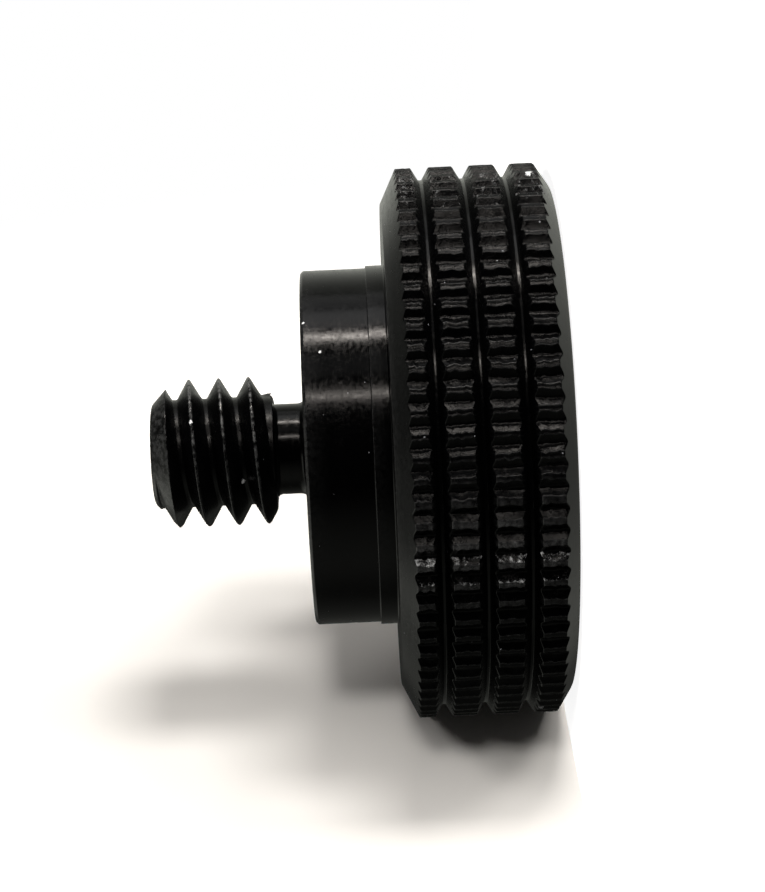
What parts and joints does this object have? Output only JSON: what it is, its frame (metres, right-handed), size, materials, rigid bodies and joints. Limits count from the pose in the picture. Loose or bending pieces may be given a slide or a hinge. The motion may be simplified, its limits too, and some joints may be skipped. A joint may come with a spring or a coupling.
{
  "type": "thumb screw",
  "caption": "Black one-piece thumb screw: wide knurled head with ring grooves, plain collar, undercut neck and short threaded stud",
  "frame": {"origin": "centre of the head's flat outer face, on which the screw stands", "axes": "+Z along the screw's axis from the head towards the tip of the stud; +X through the crest of one knurl tooth"},
  "size_m": [0.0232, 0.0232, 0.0171],
  "materials": {
    "black_finish": "black anodised over a fine turned and knurled surface, satin, with small bright worn specks"
  },
  "bodies": {
    "root": {"thumb_screw": "black_finish"}
  },
  "joints": []
}
